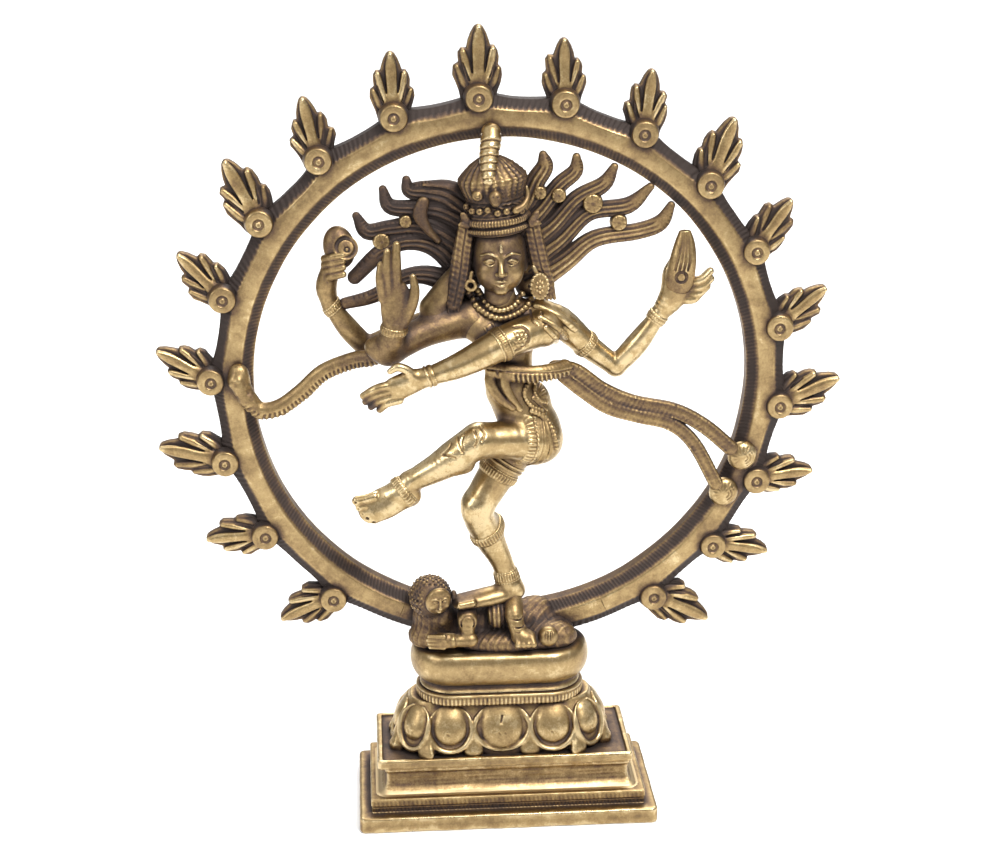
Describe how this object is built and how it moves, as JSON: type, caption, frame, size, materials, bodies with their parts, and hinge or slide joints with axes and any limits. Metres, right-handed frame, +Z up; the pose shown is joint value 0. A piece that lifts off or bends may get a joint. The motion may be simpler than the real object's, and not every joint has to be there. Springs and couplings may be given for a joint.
{
  "type": "brass nataraja statue",
  "caption": "Cast brass dancing figure with four arms on a lotus seat and stepped pedestal, inside an upright ring edged with flames.",
  "frame": {"origin": "middle of the pedestal's underside, on the surface the statue stands on", "axes": "+Z up along the statue's height, +X to the viewer's right, +Y to the back"},
  "size_m": [0.1992, 0.044, 0.2361],
  "materials": {
    "polished_brass": "hand polished high spots over brown patina",
    "worn_brass": "chased and rubbed, patina left in the cuts",
    "dark_brass": "as cast, brown patina"
  },
  "bodies": {
    "root": {"bottom_step": "polished_brass", "top_slab": "polished_brass", "milled_collar": "polished_brass", "cushion": "polished_brass", "flame_ring": "polished_brass", "flame_bosses": "polished_brass", "torso": "polished_brass", "head": "polished_brass", "crown_finial": "polished_brass", "pointing_arm": "polished_brass", "pointing_hand": "polished_brass", "fire_arm": "polished_brass", "fire_hand": "polished_brass", "raised_leg": "polished_brass", "raised_foot": "polished_brass", "standing_leg": "polished_brass", "sash_rosettes": "polished_brass", "ribbed_band": "worn_brass", "lotus_skirt": "worn_brass", "dwarf_head": "worn_brass", "dwarf_limbs": "worn_brass", "ring_feet": "worn_brass", "crown": "worn_brass", "hair_flowers": "worn_brass", "drum_arm": "worn_brass", "drum": "worn_brass", "blessing_arm": "worn_brass", "blessing_hand": "worn_brass", "hand_flame": "worn_brass", "snake_sash": "worn_brass", "sash_tails": "worn_brass", "necklace": "worn_brass", "earrings": "worn_brass", "waist_sash": "worn_brass", "arm_bands": "worn_brass", "leg_bands": "worn_brass", "flame_01": "worn_brass", "flame_02": "worn_brass", "flame_03": "worn_brass", "flame_04": "worn_brass", "flame_05": "worn_brass", "flame_06": "worn_brass", "flame_07": "worn_brass", "flame_08": "worn_brass", "flame_09": "worn_brass", "flame_10": "worn_brass", "flame_11": "worn_brass", "flame_12": "worn_brass", "flame_13": "worn_brass", "flame_14": "worn_brass", "flame_15": "worn_brass", "flame_16": "worn_brass", "flame_17": "worn_brass", "flame_18": "worn_brass", "middle_block": "dark_brass", "dwarf_body": "dark_brass", "side_locks": "dark_brass", "hair_fan_left": "dark_brass", "hair_fan_right": "dark_brass"}
  },
  "joints": []
}
